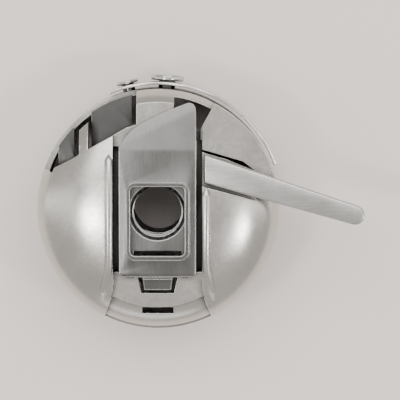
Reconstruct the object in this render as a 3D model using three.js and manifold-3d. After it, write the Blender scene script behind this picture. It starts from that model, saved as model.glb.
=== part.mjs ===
// Bobbin case of a front-loading rotary hook: a thin steel cup that lies on its open rim, with the
// spring-loaded latch on its closed front and the position finger standing out past the wall.
// Millimetres, +Z up. Lengths are given from the axis of the cup and from its open rim.
import * as THREE from 'three';
import { mergeVertices } from 'three/addons/utils/BufferGeometryUtils.js';
import Module from 'manifold-3d';

const wasm = await Module();
wasm.setup();

// Driving dimensions
const WALL_OUTER_R = 11.2;
const WALL_INNER_R = 10.7;
const DOME_BASE_Z = 8.6;
const CROWN_Z = 12.75;
const FRONT_INNER_Z = 9.9;
const FLOOR_Z = 11;
const LAND_Z = 11.2;
const GROOVE_Z = 11.5;
const NOTCH_Z = 8;
const CHANNEL_HALF_WIDTH = 4.1;
const FLOOR_END_R = 8.95;
const POST_OUTER_R = 3;
const POST_BORE_R = 2.4;
const LEVER_HALF_WIDTH = 3.52;
const LEVER_TOP_Z = 12.85;
const SHEET = 0.5;
const PIN_Y = -5.6;
const PIN_Z = 11.65;
const PIN_R = 0.3;
const SLIDE_Z = 11.2;
const SPRING_BAND_Z = 6;
const ROUND_STEPS = 72;
const RUNNING_GAP = 0.05;
const WINDOW_Z = 8.5;

const steel = {
  domed: { color: 0xb9b2a8, roughness: 0.34, metalness: 0.9 },
  strip: { color: 0xb4afa8, roughness: 0.3, metalness: 0.9 },
  lever: { color: 0x8c8a84, roughness: 0.36, metalness: 0.9 },
  dark: { color: 0x7a7974, roughness: 0.42, metalness: 0.9 },
  bright: { color: 0xc6c3bd, roughness: 0.22, metalness: 1 },
};

function radians(degrees) {
  return THREE.MathUtils.degToRad(degrees);
}

// A closed solid from a geometry: shared corners are merged and collapsed triangles dropped.
function solid(geometry) {
  const bare = geometry.clone();
  bare.deleteAttribute('normal');
  bare.deleteAttribute('uv');
  const merged = mergeVertices(bare, 1e-4);
  const corners = merged.index.array;
  const kept = [];
  for (let i = 0; i < corners.length; i += 3) {
    const [a, b, c] = [corners[i], corners[i + 1], corners[i + 2]];
    if (a !== b && b !== c && c !== a) {
      kept.push(a, b, c);
    }
  }
  return new wasm.Manifold(new wasm.Mesh({
    numProp: 3,
    vertProperties: new Float32Array(merged.attributes.position.array),
    triVerts: new Uint32Array(kept),
  }));
}

function geometryOf(body) {
  const mesh = body.getMesh();
  const geometry = new THREE.BufferGeometry();
  geometry.setAttribute('position', new THREE.BufferAttribute(new Float32Array(mesh.vertProperties), 3));
  geometry.setIndex(new THREE.BufferAttribute(new Uint32Array(mesh.triVerts), 1));
  geometry.computeVertexNormals();
  return geometry;
}

// A piece turned about Z from a closed profile of [radius, height] corners, outer side going up.
function turned(profile, steps = ROUND_STEPS) {
  const points = [...profile, profile[0]].map(([r, z]) => new THREE.Vector2(r, z));
  return solid(new THREE.LatheGeometry(points, steps).rotateX(Math.PI / 2));
}

function outline(corners) {
  return new THREE.Shape(corners.map(([x, y]) => new THREE.Vector2(x, y)));
}

// An outline in X and Y that stands from z0 to z1.
function upright(shape, z0, z1, curveSegments = 12) {
  const geometry = new THREE.ExtrudeGeometry(shape, { depth: z1 - z0, bevelEnabled: false, curveSegments });
  return solid(geometry.translate(0, 0, z0));
}

// An outline in Y and Z that runs from x0 to x1.
function crosswise(shape, x0, x1, curveSegments = 12) {
  const geometry = new THREE.ExtrudeGeometry(shape, { depth: x1 - x0, bevelEnabled: false, curveSegments });
  const alongX = new THREE.Matrix4().makeBasis(
    new THREE.Vector3(0, 1, 0),
    new THREE.Vector3(0, 0, 1),
    new THREE.Vector3(1, 0, 0),
  );
  return solid(geometry.applyMatrix4(alongX).translate(x0, 0, 0));
}

function block(x0, x1, y0, y1, z0, z1) {
  const geometry = new THREE.BoxGeometry(x1 - x0, y1 - y0, z1 - z0);
  return solid(geometry.translate((x0 + x1) / 2, (y0 + y1) / 2, (z0 + z1) / 2));
}

// A round bar along X.
function barX(radius, x0, x1, y, z, steps = 20) {
  const geometry = new THREE.CylinderGeometry(radius, radius, x1 - x0, steps);
  return solid(geometry.rotateZ(Math.PI / 2).translate((x0 + x1) / 2, y, z));
}

// A round bar along +Y, which is turned afterwards to point out of the wall at an angle.
function barOut(radius, from, to, angle, z, steps = 24) {
  const geometry = new THREE.CylinderGeometry(radius, radius, to - from, steps);
  geometry.translate(0, (from + to) / 2, 0).rotateZ(radians(angle - 90)).translate(0, 0, z);
  return solid(geometry);
}

// A sector of a ring about Z, between two radii, two heights and two angles in degrees.
function ringSector(r0, r1, z0, z1, from, to) {
  const shape = new THREE.Shape();
  shape.absarc(0, 0, r1, radians(from), radians(to), false);
  shape.absarc(0, 0, r0, radians(to), radians(from), true);
  return upright(shape, z0, z1, Math.ceil((to - from) / 4));
}

// Height over its base of a dome of radius R at radius r. A higher power gives a fuller shoulder.
function domeHeight(r, R, height, power) {
  return height * (1 - (r / R) ** power) ** (1 / power);
}

// Points of a dome's outline between two radii, closer together towards the steep end.
function domeProfile(fromR, toR, R, baseZ, topZ, power, steps) {
  const start = Math.acos(Math.min(1, fromR / R));
  const end = Math.acos(Math.min(1, toR / R));
  const points = [];
  for (let i = 0; i <= steps; i += 1) {
    const r = R * Math.cos(start + (end - start) * (i / steps));
    points.push([r, baseZ + domeHeight(Math.min(r, R), R, topZ - baseZ, power)]);
  }
  return points;
}

function cupBlank() {
  const holeR = POST_OUTER_R + RUNNING_GAP;
  const rimChamfer = 0.06;
  const innerBaseZ = 7.2;
  const innerTopR = 6;
  return turned([
    [WALL_INNER_R + rimChamfer, 0],
    [WALL_OUTER_R - rimChamfer, 0],
    [WALL_OUTER_R, rimChamfer],
    ...domeProfile(WALL_OUTER_R, holeR, WALL_OUTER_R, DOME_BASE_Z, CROWN_Z, 2.5, 12),
    [holeR, FRONT_INNER_Z],
    ...domeProfile(innerTopR, WALL_INNER_R, WALL_INNER_R, innerBaseZ, FRONT_INNER_Z, 4, 6),
    [WALL_INNER_R, rimChamfer],
  ]);
}

// The gutter across the crown that the latch lies in. Its sides spread a little at the hinge end.
function latchChannel() {
  const half = CHANNEL_HALF_WIDTH;
  const end = 11.9;
  const spread = 4.35;
  const endR = FLOOR_END_R + 0.15;
  const endAngle = Math.acos(spread / endR);
  const cornerY = -endR * Math.sin(endAngle);
  const plan = new THREE.Shape();
  plan.moveTo(-spread, cornerY);
  plan.absarc(0, 0, endR, Math.PI + endAngle, 2 * Math.PI - endAngle, false);
  plan.quadraticCurveTo(half, -7.4, half, -6.4);
  plan.lineTo(half, end);
  plan.lineTo(-half, end);
  plan.lineTo(-half, -6.4);
  plan.quadraticCurveTo(-half, -7.4, -spread, cornerY);
  return upright(plan, FLOOR_Z, CROWN_Z + 2, 8);
}

// Past the floor's end a lower band follows the dome down to the wall.
function hingeBand() {
  const bandR = 11;
  const bandBaseZ = 8.3;
  const bandTopZ = 11.6;
  const plan = outline([[-4.25, -8], [-5.1, -10.4], [-5.1, -12.5], [5.1, -12.5], [5.1, -10.4], [4.25, -8]]);
  const above = turned([
    ...domeProfile(bandR, FLOOR_END_R, bandR, bandBaseZ, bandTopZ, 2.5, 6),
    [FLOOR_END_R, 15],
    [13, 15],
    [13, bandBaseZ],
  ].reverse());
  return upright(plan, 5, 16).intersect(above);
}

// Slits through the floor on both sides of the lever.
function sideSlits() {
  const [inner, y0, y1] = [3.57, -5.7, 5.9];
  const slit = block(inner, CHANNEL_HALF_WIDTH, y0, y1, FRONT_INNER_Z - 1, FLOOR_Z + 0.5);
  return slit.add(block(-CHANNEL_HALF_WIDTH, -inner, y0, y1, FRONT_INNER_Z - 1, FLOOR_Z + 0.5));
}

// The slot in the channel floor that the lever's tongue bears in, a little narrower at its outer end.
function fulcrumSlot() {
  const shape = outline([[-1.82, -6.2], [-1.52, -7.65], [1.52, -7.65], [1.82, -6.2]]);
  return upright(shape, FRONT_INNER_Z - 1, FLOOR_Z + 1);
}

function tailSlot() {
  return block(-1.45, 1.45, -9.6, -9, FRONT_INNER_Z - 1.5, FLOOR_Z + 1);
}

// A slot across the floor that shows under the lower edge of the lever's window.
function crossSlot() {
  return block(-2.4, 2.4, -4.4, -3.25, FRONT_INNER_Z - 1, FLOOR_Z + 1);
}

function coilSlot() {
  return block(-0.75, 0.75, 3.5, 7.1, FRONT_INNER_Z - 1, FLOOR_Z + 1);
}

function hornSlot() {
  return block(-1.2, 1.2, -4.9, 0, FRONT_INNER_Z - 1, FLOOR_Z + 1);
}

// Openings in the front on both sides of the bridge, which ties the front to the wall.
function leftWindows() {
  const small = outline([[-10.2, 3.5], [-7.6, 4.9], [-7.2, 5.15], [-7.2, 13], [-13, 13], [-13, 3.5]]);
  const main = outline([[-6.4, 5.65], [-4.3, 6.8], [-2.9, 7.6], [-1.95, 7.9], [-1.95, 13], [-6.4, 13]]);
  const inside = turned([[0.5, 5], [WALL_INNER_R - 0.05, 5], [WALL_INNER_R - 0.05, 14], [0.5, 14]]);
  return upright(small, WINDOW_Z, 14).add(upright(main, WINDOW_Z, 14)).intersect(inside);
}

function rightWindow() {
  const shape = new THREE.Shape();
  shape.moveTo(1.5, 6.4);
  shape.lineTo(3.95, 6.4);
  shape.lineTo(3.95, 7.5);
  shape.absarc(0, 0, 10.55, radians(62), radians(81.8), false);
  return upright(shape, WINDOW_Z, 14);
}

// Left of the bridge the wall is cut back to a low rim.
function rimNotch() {
  const notch = ringSector(10.3, WALL_OUTER_R + 2, NOTCH_Z, 14, 90, 160.5);
  return notch.subtract(block(-1.95, 1.6, 0, 14, 0, 20));
}

// The shoulder is filled out under the right-hand land, so that the land runs level to the wall.
function landShelf() {
  return ringSector(9.2, 11, 9.7, LAND_Z, 15, 62);
}

// The right-hand land lies lower than the crown, and a narrow slit parts it from the finger.
function rightLand() {
  const shape = outline([[3, 5.35], [7.8, 4.05], [12.5, 2.5], [12.5, 12.5], [1.5, 12.5], [1.5, 9], [3, 9]]);
  return upright(shape, LAND_Z, 14);
}

function landSlit() {
  return upright(outline([[3.8, 5.45], [7.8, 4.3], [7.86, 4.52], [3.8, 5.7]]), WINDOW_Z, 14);
}

const FINGER_CORNERS = {
  root: [[4.25, 2.6], [4.25, 5.25]],
  tip: [18.1, -0.35],
  tipR: 0.9,
};

function fingerShape(grow) {
  const [lower, upper] = FINGER_CORNERS.root;
  const [tipX, tipY] = FINGER_CORNERS.tip;
  const tipR = FINGER_CORNERS.tipR + grow;
  const slope = Math.atan2(tipY - (lower[1] + upper[1]) / 2, tipX - lower[0]);
  const shape = new THREE.Shape();
  shape.moveTo(lower[0] - 2 * grow, lower[1] - grow);
  shape.lineTo(tipX + tipR * Math.sin(slope), tipY - tipR * Math.cos(slope));
  shape.absarc(tipX, tipY, tipR, slope - Math.PI / 2, slope + Math.PI / 2, false);
  shape.lineTo(upper[0] - 2 * grow, upper[1] + grow);
  return shape;
}

function fingerGroove() {
  return upright(fingerShape(0.22), GROOVE_Z, 14);
}

// The slit that leads the thread from the open rim to the leaf spring.
function threadSlot() {
  const geometry = new THREE.BoxGeometry(0.7, 3, 7.4);
  geometry.rotateY(radians(24)).translate(0, WALL_OUTER_R, 2.9).rotateZ(radians(48 - 90));
  return solid(geometry);
}

const TENSION_SCREW = { angle: 86, headR: 1.55, headH: 0.55, shankR: 0.8 };
const FIXING_SCREW = { angle: 104, headR: 1.05, headH: 0.35, shankR: 0.6 };
const LEAF_HALF_HEIGHT = 2.6;
const LEAF_INNER_R = WALL_OUTER_R + 0.3;
const LEAF_OUTER_R = LEAF_INNER_R + 0.25;

function screwHole(screw, from, to) {
  return barOut(screw.shankR + RUNNING_GAP, from, to, screw.angle, SPRING_BAND_Z);
}

function caseBody() {
  let body = cupBlank().add(landShelf()).subtract(latchChannel());
  const cuts = [
    hingeBand(), sideSlits(), rightLand(), fingerGroove(), rimNotch(), leftWindows(), rightWindow(),
    landSlit(), fulcrumSlot(), tailSlot(), crossSlot(), coilSlot(), hornSlot(),
    threadSlot(),
    screwHole(TENSION_SCREW, 9, 13), screwHole(FIXING_SCREW, 9, 13),
  ];
  for (const cut of cuts) {
    body = body.subtract(cut);
  }
  const coilLug = block(-0.45, 0.45, 3.15, 3.6, FRONT_INNER_Z + 0.1, SLIDE_Z + SHEET);
  return body.add(coilLug);
}

// The tube that the bobbin turns on and the hook's stud goes through. The slot lets the horn out.
function centrePost() {
  const foot = 1.6;
  const chamfer = 0.2;
  const tube = turned([
    [POST_BORE_R, foot],
    [POST_OUTER_R - chamfer, foot],
    [POST_OUTER_R, foot + chamfer],
    [POST_OUTER_R, FLOOR_Z],
    [POST_BORE_R, FLOOR_Z],
  ], 40);
  return tube.subtract(block(-1.2, 1.2, -4, 0, 7, FLOOR_Z + 1));
}

function positionFinger() {
  return upright(fingerShape(0), GROOVE_Z + 0.1, GROOVE_Z + 1, 8);
}

// A flat slide with the stud's hole, a cut-out for the coil spring, two arms for the pin and a horn.
function latchSlide() {
  const half = 2.85;
  const armInner = 2.2;
  const armEnd = PIN_Y - 0.55;
  const plate = new THREE.Shape();
  plate.moveTo(-half, armEnd);
  plate.lineTo(-armInner, armEnd);
  plate.lineTo(-armInner, -3.7);
  plate.lineTo(armInner, -3.7);
  plate.lineTo(armInner, armEnd);
  plate.lineTo(half, armEnd);
  plate.lineTo(half, 6.9);
  plate.lineTo(half - 0.5, 7.4);
  plate.lineTo(0.5 - half, 7.4);
  plate.lineTo(-half, 6.9);
  const hole = new THREE.Path();
  hole.absarc(0, -0.1, 2.3, 0, 2 * Math.PI, true);
  plate.holes.push(hole);
  plate.holes.push(outlinePath([[-0.75, 2.9], [-0.75, 6.9], [0.75, 6.9], [0.75, 2.9]]));
  let body = upright(plate, SLIDE_Z, SLIDE_Z + SHEET, 18);
  for (const side of [-1, 1]) {
    const inner = side * armInner;
    const outer = side * half;
    const ear = block(Math.min(inner, outer), Math.max(inner, outer), armEnd, PIN_Y + 0.55, 11.1, 12.2);
    body = body.add(ear);
  }
  const horn = block(-0.9, 0.9, -2.95, -2.47, 7.5, SLIDE_Z + SHEET / 2);
  return body.add(horn).subtract(barX(PIN_R + RUNNING_GAP, -5, 5, PIN_Y, PIN_Z));
}

function outlinePath(corners) {
  return new THREE.Path(corners.map(([x, y]) => new THREE.Vector2(x, y)));
}

// The lever seen from the front: square at the hinge, with a slanted grip and a framed window.
function leverPlate() {
  const half = LEVER_HALF_WIDTH;
  const shape = new THREE.Shape();
  shape.moveTo(-half, -6);
  shape.lineTo(half, -6);
  shape.lineTo(half, 9.2);
  shape.quadraticCurveTo(half, 9.95, half - 0.7, 9.95);
  shape.quadraticCurveTo(1.1, 9.35, -1.3, 8.15);
  shape.quadraticCurveTo(-3.1, 7.1, -half, 5.6);
  const window = new THREE.Path();
  const [x0, x1, y0, y1, r] = [-2.5, 2.5, -4.05, 2.3, 0.45];
  window.moveTo(x0 + r, y0);
  window.quadraticCurveTo(x0, y0, x0, y0 + r);
  window.lineTo(x0, y1 - r);
  window.quadraticCurveTo(x0, y1, x0 + r, y1);
  window.lineTo(x1 - r, y1);
  window.quadraticCurveTo(x1, y1, x1, y1 - r);
  window.lineTo(x1, y0 + r);
  window.quadraticCurveTo(x1, y0, x1 - r, y0);
  shape.holes.push(window);
  return shape;
}

// The lever from the side. The grip past the bend lies a little lower, and the hinge end is rolled.
function leverSide(underside) {
  const bendY = 5.6;
  const tipY = 10.2;
  const tipDrop = 0.35;
  const shape = new THREE.Shape();
  shape.moveTo(-5.9, underside);
  shape.lineTo(bendY, underside);
  shape.lineTo(tipY, underside - tipDrop);
  shape.lineTo(tipY, LEVER_TOP_Z - tipDrop);
  shape.lineTo(bendY, LEVER_TOP_Z);
  shape.lineTo(-5.75, LEVER_TOP_Z);
  shape.quadraticCurveTo(-6.25, LEVER_TOP_Z, -6.25, LEVER_TOP_Z - SHEET);
  shape.lineTo(-6.25, underside);
  return shape;
}

function flangeSide() {
  const shape = new THREE.Shape();
  const bottom = PIN_Z - 0.42;
  shape.moveTo(4.9, LEVER_TOP_Z - 0.3);
  shape.lineTo(-6.1, LEVER_TOP_Z - 0.3);
  shape.lineTo(-6.1, PIN_Z);
  shape.quadraticCurveTo(-6.1, bottom, PIN_Y, bottom);
  shape.lineTo(3.9, bottom);
  shape.lineTo(4.9, bottom + 0.7);
  return shape;
}

// The tongue drops from the rolled end to the channel floor and bears in the fulcrum slot.
function leverTongue() {
  const side = outline([
    [-6.3, 11.08], [-5.85, 11.4], [-5.85, 12.6], [-6.25, 12.6], [-6.25, 11.65], [-7.3, 11.5], [-7.3, 11.08],
  ]);
  const taper = upright(outline([[-1.5, -5], [-1.22, -7.4], [1.22, -7.4], [1.5, -5]]), 10, 14);
  return crosswise(side, -2, 2).intersect(taper);
}

function latchLever() {
  const plan = upright(leverPlate(), 10, 14, 8);
  const rise = crosswise(leverSide(LEVER_TOP_Z - SHEET), -5, 5, 5);
  let body = plan.intersect(rise);
  const flangeT = 0.42;
  const inner = LEVER_HALF_WIDTH - flangeT;
  const left = crosswise(flangeSide(), -LEVER_HALF_WIDTH, -inner, 5);
  const right = crosswise(flangeSide(), inner, LEVER_HALF_WIDTH, 5);
  body = body.add(left).add(right).add(leverTongue());
  return body.subtract(barX(PIN_R + RUNNING_GAP, -5, 5, PIN_Y, PIN_Z));
}

function hingePin() {
  return barX(PIN_R, -LEVER_HALF_WIDTH, LEVER_HALF_WIDTH, PIN_Y, PIN_Z);
}

// A small coil spring along Y, held in the slide's cut-out.
function coilSpring() {
  const turns = 6;
  const [y0, y1] = [3.7, 6.7];
  const coilR = 0.42;
  const wireR = 0.12;
  const perTurn = 12;
  class Helix extends THREE.Curve {
    getPoint(t, target = new THREE.Vector3()) {
      const angle = 2 * Math.PI * turns * t;
      return target.set(coilR * Math.cos(angle), y0 + (y1 - y0) * t, 11.45 + coilR * Math.sin(angle));
    }
  }
  const wire = new THREE.Shape();
  wire.absarc(0, 0, wireR, 0, 2 * Math.PI, false);
  return new THREE.ExtrudeGeometry(wire, {
    steps: turns * perTurn, extrudePath: new Helix(), curveSegments: 3, bevelEnabled: false,
  });
}

// The leaf that squeezes the thread against the wall. Its free end narrows to a rounded tail.
function tensionLeaf() {
  const [from, to] = [20, 113];
  const [low, high] = [SPRING_BAND_Z - LEAF_HALF_HEIGHT, SPRING_BAND_Z + LEAF_HALF_HEIGHT];
  let leaf = ringSector(LEAF_INNER_R, LEAF_OUTER_R, low, high, from, to);
  for (const side of [-1, 1]) {
    const geometry = new THREE.BoxGeometry(14, 6, 4).translate(0, 0, side);
    geometry.rotateY(side * radians(11)).translate(6.2, WALL_OUTER_R, side * 2.35);
    geometry.rotateZ(radians(62 - 90)).translate(0, 0, SPRING_BAND_Z);
    leaf = leaf.subtract(solid(geometry));
  }
  return leaf.subtract(screwHole(TENSION_SCREW, 9, 14)).subtract(screwHole(FIXING_SCREW, 9, 14));
}

function screwBody(screw) {
  const seat = LEAF_OUTER_R + 0.1;
  const shank = barOut(screw.shankR, WALL_INNER_R - 0.1, seat + 0.2, 90, 0);
  const head = barOut(screw.headR, seat, seat + screw.headH, 90, 0);
  const slot = block(-0.18, 0.18, seat + screw.headH - 0.3, seat + 3, -3, 3);
  return shank.add(head).subtract(slot);
}

// A thin sprung disc inside the front that keeps the bobbin from running on. Two wings show in the
// left windows.
function brakeDisc() {
  const z = 8.95;
  const t = 0.2;
  let disc = turned([[3.4, z], [8.2, z], [8.2, z + t], [3.4, z + t]], 48);
  const reach = upright(new THREE.Shape().absarc(0, 0, 10.9, 0, 2 * Math.PI, false), z, z + t, 36);
  const main = outline([[-6.15, 5.4], [-2.4, 7], [-2.4, 11], [-6.15, 11]]);
  const small = outline([[-9.2, 4.15], [-7.3, 3.4], [-7, 4.4], [-7.75, 5], [-7.75, 8], [-9.2, 8]]);
  disc = disc.add(upright(main, z, z + t).intersect(reach));
  disc = disc.add(upright(small, z, z + t).intersect(reach));
  return disc.subtract(block(-1.6, 1.6, -8.4, -3, 8, 12)).subtract(block(-1, 1, 3, 7.3, 8, 12));
}

function piece(name, shape, look) {
  const geometry = shape.isBufferGeometry ? shape : geometryOf(shape);
  const mesh = new THREE.Mesh(geometry, new THREE.MeshStandardMaterial(look));
  mesh.name = name;
  return mesh;
}

function screwPiece(name, screw) {
  const mesh = piece(name, screwBody(screw), steel.bright);
  mesh.rotation.z = radians(screw.angle - 90);
  mesh.position.z = SPRING_BAND_Z;
  return mesh;
}

const assembly = new THREE.Group();
assembly.add(piece('case_body', caseBody(), steel.domed));
assembly.add(piece('centre_post', centrePost(), steel.bright));
assembly.add(piece('position_finger', positionFinger(), steel.strip));
assembly.add(piece('latch_slide', latchSlide(), steel.strip));
assembly.add(piece('latch_lever', latchLever(), steel.lever));
assembly.add(piece('lever_hinge_pin', hingePin(), steel.bright));
assembly.add(piece('latch_coil_spring', coilSpring(), steel.bright));
assembly.add(piece('thread_tension_spring', tensionLeaf(), steel.strip));
assembly.add(screwPiece('tension_adjusting_screw', TENSION_SCREW));
assembly.add(screwPiece('spring_fixing_screw', FIXING_SCREW));
assembly.add(piece('bobbin_brake_disc', brakeDisc(), steel.dark));

// The middle of the whole case's base becomes the origin.
const bounds = new THREE.Box3().setFromObject(assembly);
const middle = bounds.getCenter(new THREE.Vector3());
assembly.position.set(-middle.x, -middle.y, -bounds.min.z);

const bobbinCase = new THREE.Group();
bobbinCase.add(assembly);

export default bobbinCase;
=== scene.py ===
"""A steel bobbin case lying on its open rim, with its latch, position finger and tension spring."""
import math

import bmesh
import bpy
from mathutils import Matrix, Vector


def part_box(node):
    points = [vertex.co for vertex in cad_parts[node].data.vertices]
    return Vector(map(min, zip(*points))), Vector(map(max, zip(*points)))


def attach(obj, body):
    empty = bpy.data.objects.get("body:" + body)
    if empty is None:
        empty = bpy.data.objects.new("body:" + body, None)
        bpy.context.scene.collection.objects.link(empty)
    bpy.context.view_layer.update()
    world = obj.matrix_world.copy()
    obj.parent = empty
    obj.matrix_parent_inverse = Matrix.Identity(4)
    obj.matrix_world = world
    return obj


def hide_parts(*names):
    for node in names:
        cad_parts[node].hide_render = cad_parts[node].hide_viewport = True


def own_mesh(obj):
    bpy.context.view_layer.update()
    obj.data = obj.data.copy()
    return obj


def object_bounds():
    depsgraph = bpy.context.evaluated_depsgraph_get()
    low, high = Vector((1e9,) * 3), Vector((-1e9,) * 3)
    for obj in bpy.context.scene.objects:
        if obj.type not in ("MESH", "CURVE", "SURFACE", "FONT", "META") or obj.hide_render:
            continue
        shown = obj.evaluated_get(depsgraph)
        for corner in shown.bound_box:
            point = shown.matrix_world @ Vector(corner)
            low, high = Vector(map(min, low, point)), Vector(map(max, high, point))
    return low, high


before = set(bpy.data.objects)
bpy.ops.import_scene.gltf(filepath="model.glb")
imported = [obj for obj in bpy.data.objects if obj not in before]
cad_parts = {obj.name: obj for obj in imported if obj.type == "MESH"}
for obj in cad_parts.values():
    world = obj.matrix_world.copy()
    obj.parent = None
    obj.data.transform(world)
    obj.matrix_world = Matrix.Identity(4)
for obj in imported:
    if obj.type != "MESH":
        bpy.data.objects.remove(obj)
cad_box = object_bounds()

MM = 0.001

# Sizes in millimetres from the case's axis and its open rim, as in the CAD
WALL_OUTER_R = 11.2
WALL_INNER_R = 10.7
DOME_BASE_Z = 8.6
CROWN_Z = 12.75
DOME_POWER = 2.5
FRONT_INNER_Z = 9.9
FLOOR_Z = 11.0
LAND_Z = 11.2
GROOVE_Z = 11.5
NOTCH_Z = 8.0
WINDOW_Z = 8.5
CHANNEL_HALF_WIDTH = 4.1
FLOOR_END_R = 8.95
POST_OUTER_R = 3.0
POST_BORE_R = 2.4
LEVER_HALF_WIDTH = 3.52
LEVER_TOP_Z = 12.85
SHEET = 0.5
PIN_Y = -5.6
PIN_Z = 11.65
PIN_R = 0.3
SLIDE_Z = 11.2
LUG_END_Y = 3.6
BAND_Z = 6.0
LEAF_HALF_HEIGHT = 2.6
LEAF_INNER_R = WALL_OUTER_R + 0.3
LEAF_OUTER_R = LEAF_INNER_R + 0.25
TENSION_SCREW = {"angle": 86, "head_r": 1.55, "head_h": 0.55, "shank_r": 0.8}
FIXING_SCREW = {"angle": 104, "head_r": 1.05, "head_h": 0.35, "shank_r": 0.6}

# The cup touches its box on the left and at the bottom, which gives the place of its axis.
case_low, case_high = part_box("case_body")
AXIS = Vector((case_low[0] + WALL_OUTER_R * MM, case_low[1] + WALL_OUTER_R * MM, case_low[2]))


# ---------------------------------------------------------------- mesh helpers

def arc(cx, cy, r, start, end, steps):
    """Points on a circle between two angles in degrees."""
    points = []
    for i in range(steps + 1):
        a = math.radians(start + (end - start) * i / steps)
        points.append((cx + r * math.cos(a), cy + r * math.sin(a)))
    return points


def curve(p0, p1, p2, steps=8):
    """Points on a quadratic curve from p0 to p2, without p0."""
    points = []
    for i in range(1, steps + 1):
        t = i / steps
        a, b, c = (1 - t) ** 2, 2 * t * (1 - t), t * t
        points.append((a * p0[0] + b * p1[0] + c * p2[0], a * p0[1] + b * p1[1] + c * p2[1]))
    return points


def from_bmesh(name, bm):
    bmesh.ops.recalc_face_normals(bm, faces=bm.faces)
    mesh = bpy.data.meshes.new(name)
    bm.to_mesh(mesh)
    bm.free()
    obj = bpy.data.objects.new(name, mesh)
    bpy.context.scene.collection.objects.link(obj)
    return obj


def extruded(name, outline, low, high, along="Z"):
    """A closed outline carried along an axis. Along X the outline is in Y and Z."""
    place = {"Z": lambda u, v, w: (u, v, w), "X": lambda u, v, w: (w, u, v)}[along]
    bm = bmesh.new()
    bottom = [bm.verts.new(place(u, v, low)) for u, v in outline]
    top = [bm.verts.new(place(u, v, high)) for u, v in outline]
    bm.faces.new(bottom)
    bm.faces.new(top)
    count = len(outline)
    for i in range(count):
        j = (i + 1) % count
        bm.faces.new((bottom[i], bottom[j], top[j], top[i]))
    return from_bmesh(name, bm)


def turned(name, profile, steps=192):
    """A closed profile of (radius, height) carried round the Z axis."""
    bm = bmesh.new()
    rings = []
    for k in range(steps):
        a = 2 * math.pi * k / steps
        rings.append([bm.verts.new((r * math.cos(a), r * math.sin(a), z)) for r, z in profile])
    count = len(profile)
    for k in range(steps):
        here, after = rings[k], rings[(k + 1) % steps]
        for i in range(count):
            j = (i + 1) % count
            bm.faces.new((here[i], after[i], after[j], here[j]))
    return from_bmesh(name, bm)


def skinned(name, rings):
    """A closed skin over rings of points that all have the same count."""
    bm = bmesh.new()
    rings = [[bm.verts.new(point) for point in ring] for ring in rings]
    for here, after in zip(rings, rings[1:]):
        for k in range(len(here)):
            n = (k + 1) % len(here)
            bm.faces.new((here[k], here[n], after[n], after[k]))
    bm.faces.new(rings[0])
    bm.faces.new(rings[-1])
    return from_bmesh(name, bm)


def round_bar(name, r, low, high, steps=48, soft=0.0):
    """A bar along Z whose end edges are rounded by soft."""
    if soft > 0:
        rows = [(r - soft + x, low + soft + y) for x, y in arc(0, 0, soft, -90, 0, 4)]
        rows += [(r - soft + x, high - soft + y) for x, y in arc(0, 0, soft, 0, 90, 4)]
    else:
        rows = [(r, low), (r, high)]
    rings = []
    for radius, z in rows:
        ring = []
        for k in range(steps):
            a = 2 * math.pi * k / steps
            ring.append((radius * math.cos(a), radius * math.sin(a), z))
        rings.append(ring)
    return skinned(name, rings)


def block(name, x0, x1, y0, y1, z0, z1):
    return extruded(name, [(x0, y0), (x1, y0), (x1, y1), (x0, y1)], z0, z1)


def ring_sector(name, r0, r1, z0, z1, start, end, steps=48):
    outline = arc(0, 0, r1, start, end, steps) + arc(0, 0, r0, end, start, steps)
    return extruded(name, outline, z0, z1)


def turn(obj, degrees, axis, shift=(0, 0, 0)):
    obj.data.transform(Matrix.Translation(shift) @ Matrix.Rotation(math.radians(degrees), 4, axis))
    return obj


def move(obj, x, y, z):
    obj.data.transform(Matrix.Translation((x, y, z)))
    return obj


def outward(obj, angle, z):
    """Lays a bar that stands on Z down, so that it points out of the wall at an angle."""
    turn(obj, 90, "Y")
    return turn(obj, angle, "Z", (0, 0, z))


def apply_modifiers(obj):
    graph = bpy.context.evaluated_depsgraph_get()
    mesh = bpy.data.meshes.new_from_object(obj.evaluated_get(graph), depsgraph=graph)
    obj.modifiers.clear()
    old = obj.data
    obj.data = mesh
    bpy.data.meshes.remove(old)


def combine(obj, tool, operation):
    modifier = obj.modifiers.new("cut", "BOOLEAN")
    modifier.operation = operation
    modifier.solver = "EXACT"
    modifier.object = tool
    apply_modifiers(obj)
    bpy.data.objects.remove(tool)
    return obj


def cut(obj, *tools):
    for tool in tools:
        combine(obj, tool, "DIFFERENCE")
    return obj


def join(obj, *tools):
    for tool in tools:
        combine(obj, tool, "UNION")
    return obj


def clean(obj, distance=0.012):
    bm = bmesh.new()
    bm.from_mesh(obj.data)
    bmesh.ops.remove_doubles(bm, verts=bm.verts, dist=distance)
    flat = math.radians(0.5)
    bmesh.ops.dissolve_limit(bm, angle_limit=flat, verts=bm.verts, edges=bm.edges)
    bm.to_mesh(obj.data)
    bm.free()
    return obj


def soften(obj, width, segments=3, angle=32):
    """Rounds the edges that are sharper than angle."""
    modifier = obj.modifiers.new("soft_edges", "BEVEL")
    modifier.width = width
    modifier.segments = segments
    modifier.limit_method = "ANGLE"
    modifier.angle_limit = math.radians(angle)
    modifier.use_clamp_overlap = True
    modifier.miter_outer = "MITER_ARC"
    apply_modifiers(obj)
    return obj


def finish_piece(obj, body, node, material, smooth_angle=30):
    """Puts a piece in the frame in metres, shades it, ties it to its body and hides the CAD part it
    stands in for.
    """
    obj.data.transform(Matrix.Translation(AXIS) @ Matrix.Scale(MM, 4))
    for polygon in obj.data.polygons:
        polygon.use_smooth = True
    obj.data.set_sharp_from_angle(angle=math.radians(smooth_angle))
    obj.data.materials.clear()
    obj.data.materials.append(material)
    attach(obj, body)
    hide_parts(node)
    return obj


# ---------------------------------------------------------------- materials

GRAIN_DEPTH = 0.000004


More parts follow.
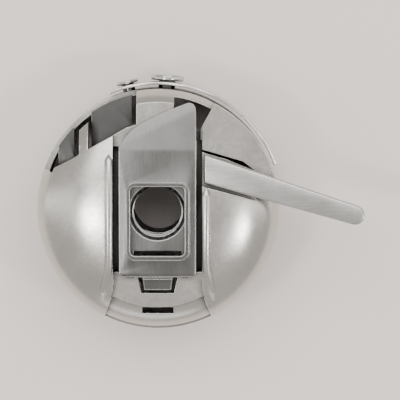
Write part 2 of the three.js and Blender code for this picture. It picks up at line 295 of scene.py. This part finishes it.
def steel(name, tint, dark_tint, roughness, stretch, edge_radius=0.08):
    """Bare or plated steel: fine brushing, soft smudges, edges that wear bright, and painted shade that
    darkens the colour in crevices.
    """
    material = bpy.data.materials.new(name)
    material.use_nodes = True
    nodes = material.node_tree.nodes
    links = material.node_tree.links
    shader = nodes["Principled BSDF"]
    shader.inputs["Metallic"].default_value = 1.0
    place = nodes.new("ShaderNodeTexCoord")

    grain_map = nodes.new("ShaderNodeMapping")
    grain_map.inputs["Scale"].default_value = stretch
    grain = nodes.new("ShaderNodeTexNoise")
    grain.inputs["Scale"].default_value = 1.0
    grain.inputs["Detail"].default_value = 5.0
    grain.inputs["Roughness"].default_value = 0.6
    links.new(place.outputs["Object"], grain_map.inputs["Vector"])
    links.new(grain_map.outputs["Vector"], grain.inputs["Vector"])

    smudge = nodes.new("ShaderNodeTexNoise")
    smudge.inputs["Scale"].default_value = 330.0
    smudge.inputs["Detail"].default_value = 4.0
    links.new(place.outputs["Object"], smudge.inputs["Vector"])

    tone = nodes.new("ShaderNodeValToRGB")
    tone.color_ramp.elements[0].position = 0.32
    tone.color_ramp.elements[0].color = (*dark_tint, 1)
    tone.color_ramp.elements[1].position = 0.68
    tone.color_ramp.elements[1].color = (*tint, 1)
    links.new(smudge.outputs["Fac"], tone.inputs["Fac"])

    rounded = nodes.new("ShaderNodeBevel")
    rounded.samples = 6
    rounded.inputs["Radius"].default_value = edge_radius * MM
    surface = nodes.new("ShaderNodeNewGeometry")
    agreement = nodes.new("ShaderNodeVectorMath")
    agreement.operation = "DOT_PRODUCT"
    links.new(rounded.outputs["Normal"], agreement.inputs[0])
    links.new(surface.outputs["Normal"], agreement.inputs[1])
    edge = nodes.new("ShaderNodeMapRange")
    edge.inputs["From Min"].default_value = 0.995
    edge.inputs["From Max"].default_value = 0.93
    links.new(agreement.outputs["Value"], edge.inputs["Value"])
    crevice = nodes.new("ShaderNodeAmbientOcclusion")
    crevice.samples = 8
    crevice.inputs["Distance"].default_value = 0.9 * MM
    outer = nodes.new("ShaderNodeMapRange")
    outer.inputs["From Min"].default_value = 0.66
    outer.inputs["From Max"].default_value = 0.88
    links.new(crevice.outputs["AO"], outer.inputs["Value"])
    wear = nodes.new("ShaderNodeMath")
    wear.operation = "MULTIPLY"
    links.new(edge.outputs["Result"], wear.inputs[0])
    links.new(outer.outputs["Result"], wear.inputs[1])
    worn = nodes.new("ShaderNodeMix")
    worn.data_type = "RGBA"
    worn.inputs["B"].default_value = (0.86, 0.85, 0.83, 1)
    links.new(wear.outputs["Value"], worn.inputs["Factor"])
    links.new(tone.outputs["Color"], worn.inputs["A"])

    # Painted shade: where the AO node finds crevices, gaps and recesses, the base colour is multiplied
    # down to as little as 0.22.
    painted_shade = nodes.new("ShaderNodeMapRange")
    painted_shade.inputs["From Min"].default_value = 0.35
    painted_shade.inputs["From Max"].default_value = 0.85
    painted_shade.inputs["To Min"].default_value = 0.22
    links.new(crevice.outputs["AO"], painted_shade.inputs["Value"])
    shaded_colour = nodes.new("ShaderNodeMix")
    shaded_colour.data_type = "RGBA"
    shaded_colour.blend_type = "MULTIPLY"
    shaded_colour.inputs["Factor"].default_value = 1.0
    links.new(worn.outputs["Result"], shaded_colour.inputs["A"])
    links.new(painted_shade.outputs["Result"], shaded_colour.inputs["B"])
    links.new(shaded_colour.outputs["Result"], shader.inputs["Base Color"])

    both = nodes.new("ShaderNodeMath")
    both.operation = "MULTIPLY_ADD"
    both.inputs[1].default_value = 0.5
    halved = nodes.new("ShaderNodeMath")
    halved.operation = "MULTIPLY"
    halved.inputs[1].default_value = 0.5
    links.new(smudge.outputs["Fac"], halved.inputs[0])
    links.new(grain.outputs["Fac"], both.inputs[0])
    links.new(halved.outputs["Value"], both.inputs[2])
    gloss = nodes.new("ShaderNodeMapRange")
    gloss.inputs["From Min"].default_value = 0.3
    gloss.inputs["From Max"].default_value = 0.7
    gloss.inputs["To Min"].default_value = roughness * 0.75
    gloss.inputs["To Max"].default_value = roughness * 1.3
    links.new(both.outputs["Value"], gloss.inputs["Value"])
    links.new(gloss.outputs["Result"], shader.inputs["Roughness"])

    relief = nodes.new("ShaderNodeBump")
    relief.inputs["Strength"].default_value = 0.6
    relief.inputs["Distance"].default_value = GRAIN_DEPTH
    links.new(grain.outputs["Fac"], relief.inputs["Height"])
    links.new(rounded.outputs["Normal"], relief.inputs["Normal"])
    links.new(relief.outputs["Normal"], shader.inputs["Normal"])
    return material


FINE_ALL_ROUND = (2600, 2600, 2600)
ALONG_X = (500, 9000, 9000)
ALONG_Y = (9000, 500, 9000)
ROUND_THE_WALL = (700, 700, 12000)

polished = steel("polished_case_steel", (0.57, 0.545, 0.505), (0.53, 0.505, 0.47), 0.24, FINE_ALL_ROUND)
# Painted shade: a dark steel for the cup's inner faces, standing in for the shade inside the cup.
inside = steel("painted_shade_matt_inside_steel", (0.16, 0.155, 0.15), (0.12, 0.117, 0.11), 0.5, FINE_ALL_ROUND)
strip = steel("satin_strip_steel", (0.53, 0.515, 0.49), (0.49, 0.475, 0.45), 0.28, ALONG_X)
brushed = steel("brushed_lever_steel", (0.20, 0.196, 0.188), (0.165, 0.161, 0.154), 0.26, ALONG_Y, 0.16)
slide_steel = steel("slide_steel", (0.24, 0.236, 0.228), (0.205, 0.201, 0.194), 0.26, ALONG_Y, 0.12)
dull = steel("dull_spring_steel", (0.075, 0.074, 0.071), (0.055, 0.054, 0.052), 0.36, FINE_ALL_ROUND)
bright = steel("bright_plated_steel", (0.62, 0.61, 0.59), (0.56, 0.55, 0.53), 0.20, FINE_ALL_ROUND)
bore = steel("shaded_bore_steel", (0.07, 0.07, 0.07), (0.05, 0.05, 0.05), 0.5, FINE_ALL_ROUND)
leaf_steel = steel("spring_leaf_steel", (0.66, 0.65, 0.62), (0.56, 0.55, 0.53), 0.24, ROUND_THE_WALL)


# ---------------------------------------------------------------- case

def dome(from_r, to_r, radius, base_z, top_z, power, steps):
    """Points of a dome's outline between two radii, closer together towards the steep end."""
    start, end = math.acos(min(1, from_r / radius)), math.acos(min(1, to_r / radius))
    points = []
    for i in range(steps + 1):
        r = min(radius, radius * math.cos(start + (end - start) * i / steps))
        z = base_z + (top_z - base_z) * (1 - (r / radius) ** power) ** (1 / power)
        points.append((r, z))
    return points


def cup_blank():
    hole_r = POST_OUTER_R + 0.05
    rim = 0.07
    profile = [(WALL_INNER_R + rim + x, rim + y) for x, y in arc(0, 0, rim, 180, 270, 3)]
    profile += [(WALL_OUTER_R - rim + x, rim + y) for x, y in arc(0, 0, rim, 270, 360, 3)]
    profile += dome(WALL_OUTER_R, hole_r, WALL_OUTER_R, DOME_BASE_Z, CROWN_Z, DOME_POWER, 44)
    profile.append((hole_r, FRONT_INNER_Z))
    profile += dome(6, WALL_INNER_R, WALL_INNER_R, 7.2, FRONT_INNER_Z, 4, 14)
    return turned("case", profile)


def channel_tool():
    """The gutter for the latch. Its sides spread a little at the hinge end."""
    half, spread = CHANNEL_HALF_WIDTH, 4.35
    end_r = FLOOR_END_R + 0.15
    end_angle = math.degrees(math.acos(spread / end_r))
    low = -end_r * math.sin(math.radians(end_angle))
    plan = arc(0, 0, end_r, 180 + end_angle, 360 - end_angle, 24)
    plan += curve((spread, low), (half, -7.4), (half, -6.4), 8)
    plan += [(half, 11.9), (-half, 11.9), (-half, -6.4)]
    plan += curve((-half, -6.4), (-half, -7.4), (-spread, low), 8)[:-1]
    return extruded("channel", plan, FLOOR_Z, CROWN_Z + 2)


def band_tool():
    """Past the channel floor's end a lower band follows the dome down to the wall."""
    plan = [(-4.25, -8), (-5.1, -10.4), (-5.1, -12.5), (5.1, -12.5), (5.1, -10.4), (4.25, -8)]
    band_r, base_z, top_z = 11, 8.3, 11.6
    profile = dome(band_r, FLOOR_END_R, band_r, base_z, top_z, DOME_POWER, 14)
    profile += [(FLOOR_END_R, 15), (13, 15), (13, base_z)]
    return combine(extruded("band", plan, 5, 16), turned("above", profile), "INTERSECT")


def side_slit(side):
    x0, x1 = sorted((side * 3.57, side * CHANNEL_HALF_WIDTH))
    top_y = 5.9 if side < 0 else 6.5
    return block("side_slit", x0, x1, -5.7, top_y, FRONT_INNER_Z - 1, FLOOR_Z + 0.5)


def window_tools():
    inside_r = WALL_INNER_R - 0.05
    small = [(-10.2, 3.5), (-7.6, 4.9), (-7.2, 5.15), (-7.2, 13), (-13, 13), (-13, 3.5)]
    main = [(-6.4, 5.65), (-4.3, 6.8), (-2.9, 7.6), (-1.95, 7.9), (-1.95, 13), (-6.4, 13)]
    tools = []
    for name, shape in (("small", small), ("main", main)):
        limit = turned("inside", [(0.5, 5), (inside_r, 5), (inside_r, 14), (0.5, 14)])
        tools.append(combine(extruded(name, shape, WINDOW_Z, 14), limit, "INTERSECT"))
    right = [(1.5, 6.4), (3.95, 6.4), (3.95, 7.5)] + arc(0, 0, 10.55, 62, 81.8, 14)
    tools.append(extruded("right_window", right, WINDOW_Z, 14))
    return tools


def notch_tool():
    notch = ring_sector("notch", 10.3, WALL_OUTER_R + 2, NOTCH_Z, 14, 90, 160.5, 72)
    return cut(notch, block("bridge", -1.95, 1.6, 0, 14, 0, 20))


def finger_outline(grow):
    root_x, low_y, high_y = 4.25, 2.6, 5.25
    tip_x, tip_y, tip_r = 18.1, -0.35, 0.9 + grow
    slope = math.degrees(math.atan2(tip_y - (low_y + high_y) / 2, tip_x - root_x))
    outline = [(root_x - 2 * grow, low_y - grow)]
    outline += arc(tip_x, tip_y, tip_r, slope - 90, slope + 90, 20)
    outline.append((root_x - 2 * grow, high_y + grow))
    return outline


def thread_slot_tool():
    tool = block("thread_slot", -0.35, 0.35, -1.5, 1.5, -3.7, 3.7)
    turn(tool, 24, "Y", (0, WALL_OUTER_R, 2.9))
    return turn(tool, 48 - 90, "Z")


def screw_hole_tool(screw):
    return outward(round_bar("hole", screw["shank_r"] + 0.05, 9, 13), screw["angle"], BAND_Z)


def make_case():
    case = join(cup_blank(), ring_sector("shelf", 9.2, 11.15, 8.8, LAND_Z, 15, 62, 48))
    cut(case, channel_tool(), band_tool(), side_slit(-1), side_slit(1))
    land = [(3, 5.35), (7.8, 4.05), (12.5, 2.5), (12.5, 12.5), (1.5, 12.5), (1.5, 9), (3, 9)]
    slit = [(3.8, 5.45), (7.8, 4.3), (7.86, 4.52), (3.8, 5.7)]
    fulcrum = [(-1.82, -6.2), (-1.52, -7.65), (1.52, -7.65), (1.82, -6.2)]
    cut(case, extruded("land", land, LAND_Z, 14), extruded("groove", finger_outline(0.22), GROOVE_Z, 14))
    cut(case, notch_tool(), *window_tools(), extruded("slit", slit, WINDOW_Z, 14))
    cut(case, extruded("fulcrum", fulcrum, 8.5, 12), block("tail", -1.45, 1.45, -9.6, -9, 8.4, 12))
    cut(case, block("cross_slot", -2.4, 2.4, -4.4, -3.25, 9, 12))
    cut(case, block("coil", -0.75, 0.75, 3.5, 7.1, 9, 12), block("horn", -1.2, 1.2, -4.9, 0, 9, 12))
    cut(case, thread_slot_tool(), screw_hole_tool(TENSION_SCREW), screw_hole_tool(FIXING_SCREW))
    join(case, block("lug", -0.45, 0.45, 3.15, LUG_END_Y, FRONT_INNER_Z + 0.1, SLIDE_Z + SHEET))
    clean(case)
    for side in (-1, 1):
        join(case, channel_lip(side))
    clean(case)
    soften(case, 0.06, 3)
    finish_piece(case, "case", "case_body", polished, 28)
    # Painted shade: the cup's inner faces that don't look up get the dark inside steel.
    shade_inside(case, inside, WALL_INNER_R + 0.02, FLOOR_Z - 0.08)
    return case


def shade_inside(obj, material, reach, top):
    """Gives the faces that lie within a radius and under a height a second material."""
    obj.data.materials.append(material)
    for polygon in obj.data.polygons:
        across = Vector((polygon.center.x - AXIS.x, polygon.center.y - AXIS.y))
        looks_up = polygon.normal.z > 0.1
        if across.length < reach * MM and polygon.center.z < top * MM and not looks_up:
            polygon.material_index = 1


def channel_lip(side):
    """The rolled edge along the channel. It spreads and thickens towards the hinge end."""
    top_y = 5.2 if side < 0 else 2.2
    rows = [(4.46, top_y, 0.05), (4.46, top_y - 0.5, 0.26), (4.46, 0, 0.27), (4.46, -4.2, 0.27)]
    rows += [(4.5, -5.4, 0.27), (4.75, -6.6, 0.28), (5.0, -7.6, 0.22), (5.15, -8.3, 0.05)]
    steps, sides = 10, 14
    rings = []
    for here, after in zip(rows, rows[1:]):
        last = after is rows[-1]
        for i in range(steps + (1 if last else 0)):
            t = i / steps
            x, y, r = (a + (b - a) * t for a, b in zip(here, after))
            reach = math.hypot(x, y)
            share = (1 - (reach / WALL_OUTER_R) ** DOME_POWER) ** (1 / DOME_POWER)
            z = DOME_BASE_Z + (CROWN_Z - DOME_BASE_Z) * share
            ring = []
            for k in range(sides):
                a = 2 * math.pi * k / sides
                across, rise = 1.35 * r * math.cos(a), 0.8 * r * math.sin(a)
                ring.append((side * (x + across), y, z + rise))
            rings.append(ring)
    return skinned("lip", rings)


def make_post():
    rows = [(POST_BORE_R + 0.1, 1.6), (POST_OUTER_R - 0.15, 1.6)]
    rows += arc(POST_OUTER_R - 0.15, 1.75, 0.15, -60, 0, 4)
    rows += [(POST_OUTER_R, FLOOR_Z), (POST_BORE_R, FLOOR_Z), (POST_BORE_R, 1.7)]
    post = turned("post", rows, 96)
    cut(post, block("horn_way", -1.2, 1.2, -4, 0, 7, 12))
    finish_piece(post, "case", "centre_post", bright)
    shade_inside(post, bore, POST_BORE_R + 0.05, FLOOR_Z + 1)
    return post


def make_finger():
    finger = extruded("finger", finger_outline(-0.01), GROOVE_Z + 0.1, GROOVE_Z + 1)
    soften(finger, 0.16, 4)
    return finish_piece(finger, "case", "position_finger", strip)


# ---------------------------------------------------------------- latch

def pin_way_tool():
    return move(turn(round_bar("pin_way", PIN_R + 0.05, -5, 5), 90, "Y"), 0, PIN_Y, PIN_Z)


def make_slide():
    half, arm, arm_end = 2.85, 2.2, PIN_Y - 0.55
    outline = [(-half, arm_end), (-arm, arm_end), (-arm, -3.7)]
    outline += [(arm, -3.7), (arm, arm_end), (half, arm_end)]
    outline += [(half, 6.9), (half - 0.5, 7.4), (0.5 - half, 7.4), (-half, 6.9)]
    slide = extruded("slide", outline, SLIDE_Z, SLIDE_Z + SHEET)
    hole = move(round_bar("hole", 2.2, SLIDE_Z - 1, SLIDE_Z + 2, 96), 0, 0.02, 0)
    cut(slide, hole, block("coil_room", -0.75, 0.75, 2.9, 6.9, 10, 13))
    for low in (-half, arm):
        ear = block("ear", low, low + half - arm, arm_end, PIN_Y + 0.55, 11.1, 12.2)
        join(slide, ear)
    join(slide, block("horn", -0.9, 0.9, -2.95, -2.47, 7.5, SLIDE_Z + SHEET / 2))
    cut(slide, pin_way_tool())
    countersink = turned("countersink", [(0.5, 11.35), (2.3, 11.35), (2.8, 11.85), (0.5, 11.85)], 96)
    cut(slide, move(countersink, 0, -0.1, 0))
    clean(slide)
    soften(slide, 0.05, 3)
    return finish_piece(slide, "slide", "latch_slide", slide_steel)


def lever_plan():
    half = LEVER_HALF_WIDTH
    corner, end = 0.45, -6.0
    outline = curve((-half, end + corner), (-half, end), (corner - half, end), 6)
    outline += curve((half - corner, end), (half, end), (half, end + corner), 6) + [(half, 9.2)]
    outline += curve((half, 9.2), (half, 9.95), (half - 0.7, 9.95), 8)
    outline += curve((half - 0.7, 9.95), (1.1, 9.35), (-1.3, 8.15), 12)
    outline += curve((-1.3, 8.15), (-3.1, 7.1), (-half, 5.6), 12)
    return outline


def lever_side():
    """The plate lies a little under the window's rim, and its grip slopes down past the bend."""
    under, top, drop = LEVER_TOP_Z - SHEET, LEVER_TOP_Z - 0.12, 0.35
    outline = [(-5.9, under), (5.4, under)] + curve((5.4, under), (5.6, under), (5.8, under - 0.015), 4)
    outline += [(10.2, under - drop), (10.2, top - drop), (5.8, top - 0.015)]
    outline += curve((5.8, top - 0.015), (5.6, top), (5.4, top), 4)
    outline += [(-5.6, top)]
    outline += curve((-5.6, top), (-6.25, top), (-6.25, under), 10)
    return outline


def flange_side():
    bottom = PIN_Z - 0.42
    outline = [(4.9, LEVER_TOP_Z - 0.3), (-6.1, LEVER_TOP_Z - 0.3), (-6.1, PIN_Z)]
    outline += curve((-6.1, PIN_Z), (-6.1, bottom), (PIN_Y, bottom), 8)
    outline += [(3.9, bottom), (4.9, bottom + 0.7)]
    return outline


def window_outline(grow):
    x, y0, y1, r = 2.5 + grow, -4.05 - grow, 2.3 + grow, 0.45 + grow
    points = arc(-x + r, y0 + r, r, 180, 270, 6) + arc(x - r, y0 + r, r, 270, 360, 6)
    return points + arc(x - r, y1 - r, r, 0, 90, 6) + arc(-x + r, y1 - r, r, 90, 180, 6)


def make_lever():
    lever = extruded("lever", lever_plan(), 10, 14)
    combine(lever, extruded("rise", lever_side(), -5, 5, "X"), "INTERSECT")
    thick = 0.42
    join(lever, extruded("left_flange", flange_side(), -LEVER_HALF_WIDTH, thick - LEVER_HALF_WIDTH, "X"))
    join(lever, extruded("right_flange", flange_side(), LEVER_HALF_WIDTH - thick, LEVER_HALF_WIDTH, "X"))
    join(lever, extruded("window_rim", window_outline(0.42), 12.4, LEVER_TOP_Z))
    cut(lever, extruded("window", window_outline(0), 12.2, 14))
    side = [(-6.3, 11.08), (-5.85, 11.4), (-5.85, 12.6), (-6.25, 12.6), (-6.25, 11.65), (-7.3, 11.5)]
    side.append((-7.3, 11.08))
    tongue = extruded("tongue", side, -2, 2, "X")
    taper = extruded("taper", [(-1.5, -5), (-1.22, -7.4), (1.22, -7.4), (1.5, -5)], 10, 14)
    join(lever, combine(tongue, taper, "INTERSECT"))
    cut(lever, pin_way_tool())
    clean(lever)
    soften(lever, 0.13, 4)
    return finish_piece(lever, "lever", "latch_lever", brushed)


def make_pin():
    pin = turn(round_bar("pin", PIN_R, -LEVER_HALF_WIDTH, LEVER_HALF_WIDTH, 32, 0.08), 90, "Y")
    move(pin, 0, PIN_Y, PIN_Z)
    return finish_piece(pin, "lever", "lever_hinge_pin", bright)


def make_coil():
    """The coil spring by the lug on the case, built at one length."""
    turns, y0, y1, coil_r, wire_r = 6, 3.7, 6.7, 0.42, 0.12
    steps, sides = turns * 32, 12
    rings = []
    for i in range(steps + 1):
        t = i / steps
        a = 2 * math.pi * turns * t
        middle = Vector((coil_r * math.cos(a), y0 + (y1 - y0) * t, 11.45 + coil_r * math.sin(a)))
        out = Vector((math.cos(a), 0, math.sin(a)))
        ring = []
        for k in range(sides):
            b = 2 * math.pi * k / sides
            offset = out * math.cos(b) + Vector((0, 1, 0)) * math.sin(b)
            ring.append(middle + offset * wire_r)
        rings.append(ring)
    coil = skinned("coil", rings)
    finish_piece(coil, "case", "latch_coil_spring", bright)
    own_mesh(coil)
    return coil


# ---------------------------------------------------------------- thread tension and brake

def make_leaf():
    low, high = BAND_Z - LEAF_HALF_HEIGHT, BAND_Z + LEAF_HALF_HEIGHT
    leaf = ring_sector("leaf", LEAF_INNER_R, LEAF_OUTER_R, low, high, 20, 113, 90)
    for side in (-1, 1):
        tool = block("taper", -7, 7, -3, 3, side - 2, side + 2)
        turn(tool, side * 11, "Y", (6.2, WALL_OUTER_R, side * 2.35))
        cut(leaf, turn(tool, 62 - 90, "Z", (0, 0, BAND_Z)))
    cut(leaf, screw_hole_tool(TENSION_SCREW), screw_hole_tool(FIXING_SCREW))
    clean(leaf)
    soften(leaf, 0.06, 3)
    finish_piece(leaf, "case", "thread_tension_spring", leaf_steel)
    shade_inside(leaf, bore, LEAF_INNER_R + 0.02, BAND_Z + LEAF_HALF_HEIGHT)
    return leaf


def make_screw(name, screw, body, node):
    seat = LEAF_OUTER_R + 0.1
    screw_obj = round_bar(name, screw["shank_r"], WALL_INNER_R - 0.1, seat + 0.2, 48)
    join(screw_obj, round_bar("head", screw["head_r"], seat, seat + screw["head_h"], 64, 0.14))
    slot_floor = seat + screw["head_h"] - 0.3
    cut(screw_obj, block("slot", -3, 3, -0.18, 0.18, slot_floor, seat + 3))
    outward(screw_obj, screw["angle"], BAND_Z)
    return finish_piece(screw_obj, body, node, bright)


def make_brake():
    z, t = 8.95, 0.2
    disc = turned("brake", [(3.4, z), (8.2, z), (8.2, z + t), (3.4, z + t)], 128)
    main = [(-6.15, 5.4), (-2.4, 7), (-2.4, 11), (-6.15, 11)]
    small = [(-9.2, 4.15), (-7.3, 3.4), (-7, 4.4), (-7.75, 5), (-7.75, 8), (-9.2, 8)]
    for shape in (main, small):
        wing = extruded("wing", shape, z, z + t)
        combine(wing, round_bar("reach", 10.9, 8, 10, 192), "INTERSECT")
        join(disc, wing)
    cut(disc, block("hinge_gap", -1.6, 1.6, -8.4, -3, 8, 12), block("coil_gap", -1, 1, 3, 7.3, 8, 12))
    clean(disc)
    soften(disc, 0.05, 3)
    return finish_piece(disc, "case", "bobbin_brake_disc", dull)


# ---------------------------------------------------------------- stage

def make_floor():
    half = 0.6
    bm = bmesh.new()
    corners = [bm.verts.new((x * half, y * half, 0)) for x, y in ((-1, -1), (1, -1), (1, 1), (-1, 1))]
    bm.faces.new(corners)
    floor = from_bmesh("floor", bm)
    material = bpy.data.materials.new("pale_floor")
    material.use_nodes = True
    shader = material.node_tree.nodes["Principled BSDF"]
    shader.inputs["Base Color"].default_value = (0.95, 0.86, 0.81, 1)
    shader.inputs["Roughness"].default_value = 0.7
    floor.data.materials.append(material)


def area_light(name, place, target, size, power):
    data = bpy.data.lights.new(name, "AREA")
    data.shape = "RECTANGLE"
    data.size, data.size_y = size
    data.energy = power
    lamp = bpy.data.objects.new(name, data)
    lamp.location = place
    lamp.rotation_euler = (Vector(target) - Vector(place)).to_track_quat("-Z", "Y").to_euler()
    bpy.context.scene.collection.objects.link(lamp)


def make_lights():
    target = (-0.004, 0, 0.01)
    area_light("left_box", (-0.10, -0.03, 0.24), target, (0.035, 0.04), 0.12)
    area_light("right_box", (0.165, -0.06, 0.24), target, (0.035, 0.04), 0.14)
    area_light("left_strip", (-0.26, 0, 0.14), target, (0.05, 0.30), 0.07)
    area_light("right_strip", (0.26, 0, 0.14), target, (0.05, 0.30), 0.07)
    area_light("overhead", (0, 0.13, 0.30), target, (0.34, 0.18), 0.65)
    area_light("low_front", (-0.03, -0.28, 0.10), target, (0.24, 0.06), 0.06)
    world = bpy.data.worlds.new("studio")
    world.use_nodes = True
    background = world.node_tree.nodes["Background"]
    background.inputs["Color"].default_value = (0.94, 0.92, 0.90, 1)
    background.inputs["Strength"].default_value = 0.75
    bpy.context.scene.world = world


def make_camera():
    low, high = cad_box
    middle = (Vector(low) + Vector(high)) / 2
    lean = math.radians(4)
    distance = 0.25
    towards = Vector((0, math.sin(lean), math.cos(lean)))
    up = Vector((0, math.cos(lean), -math.sin(lean)))
    data = bpy.data.cameras.new("camera")
    data.sensor_width = 36
    data.lens = 240
    data.clip_start = 0.01
    camera = bpy.data.objects.new("camera", data)
    turn_in = Matrix((Vector((1, 0, 0)), up, towards)).transposed().to_4x4()
    camera.matrix_world = Matrix.Translation(middle + towards * distance) @ turn_in
    bpy.context.scene.collection.objects.link(camera)
    bpy.context.scene.camera = camera


make_camera()
make_floor()
make_lights()
make_case()
make_post()
make_finger()
make_slide()
make_lever()
make_pin()
make_coil()
make_leaf()
make_screw("tension_screw", TENSION_SCREW, "tension_screw", "tension_adjusting_screw")
make_screw("fixing_screw", FIXING_SCREW, "case", "spring_fixing_screw")
make_brake()

bpy.context.view_layer.update()
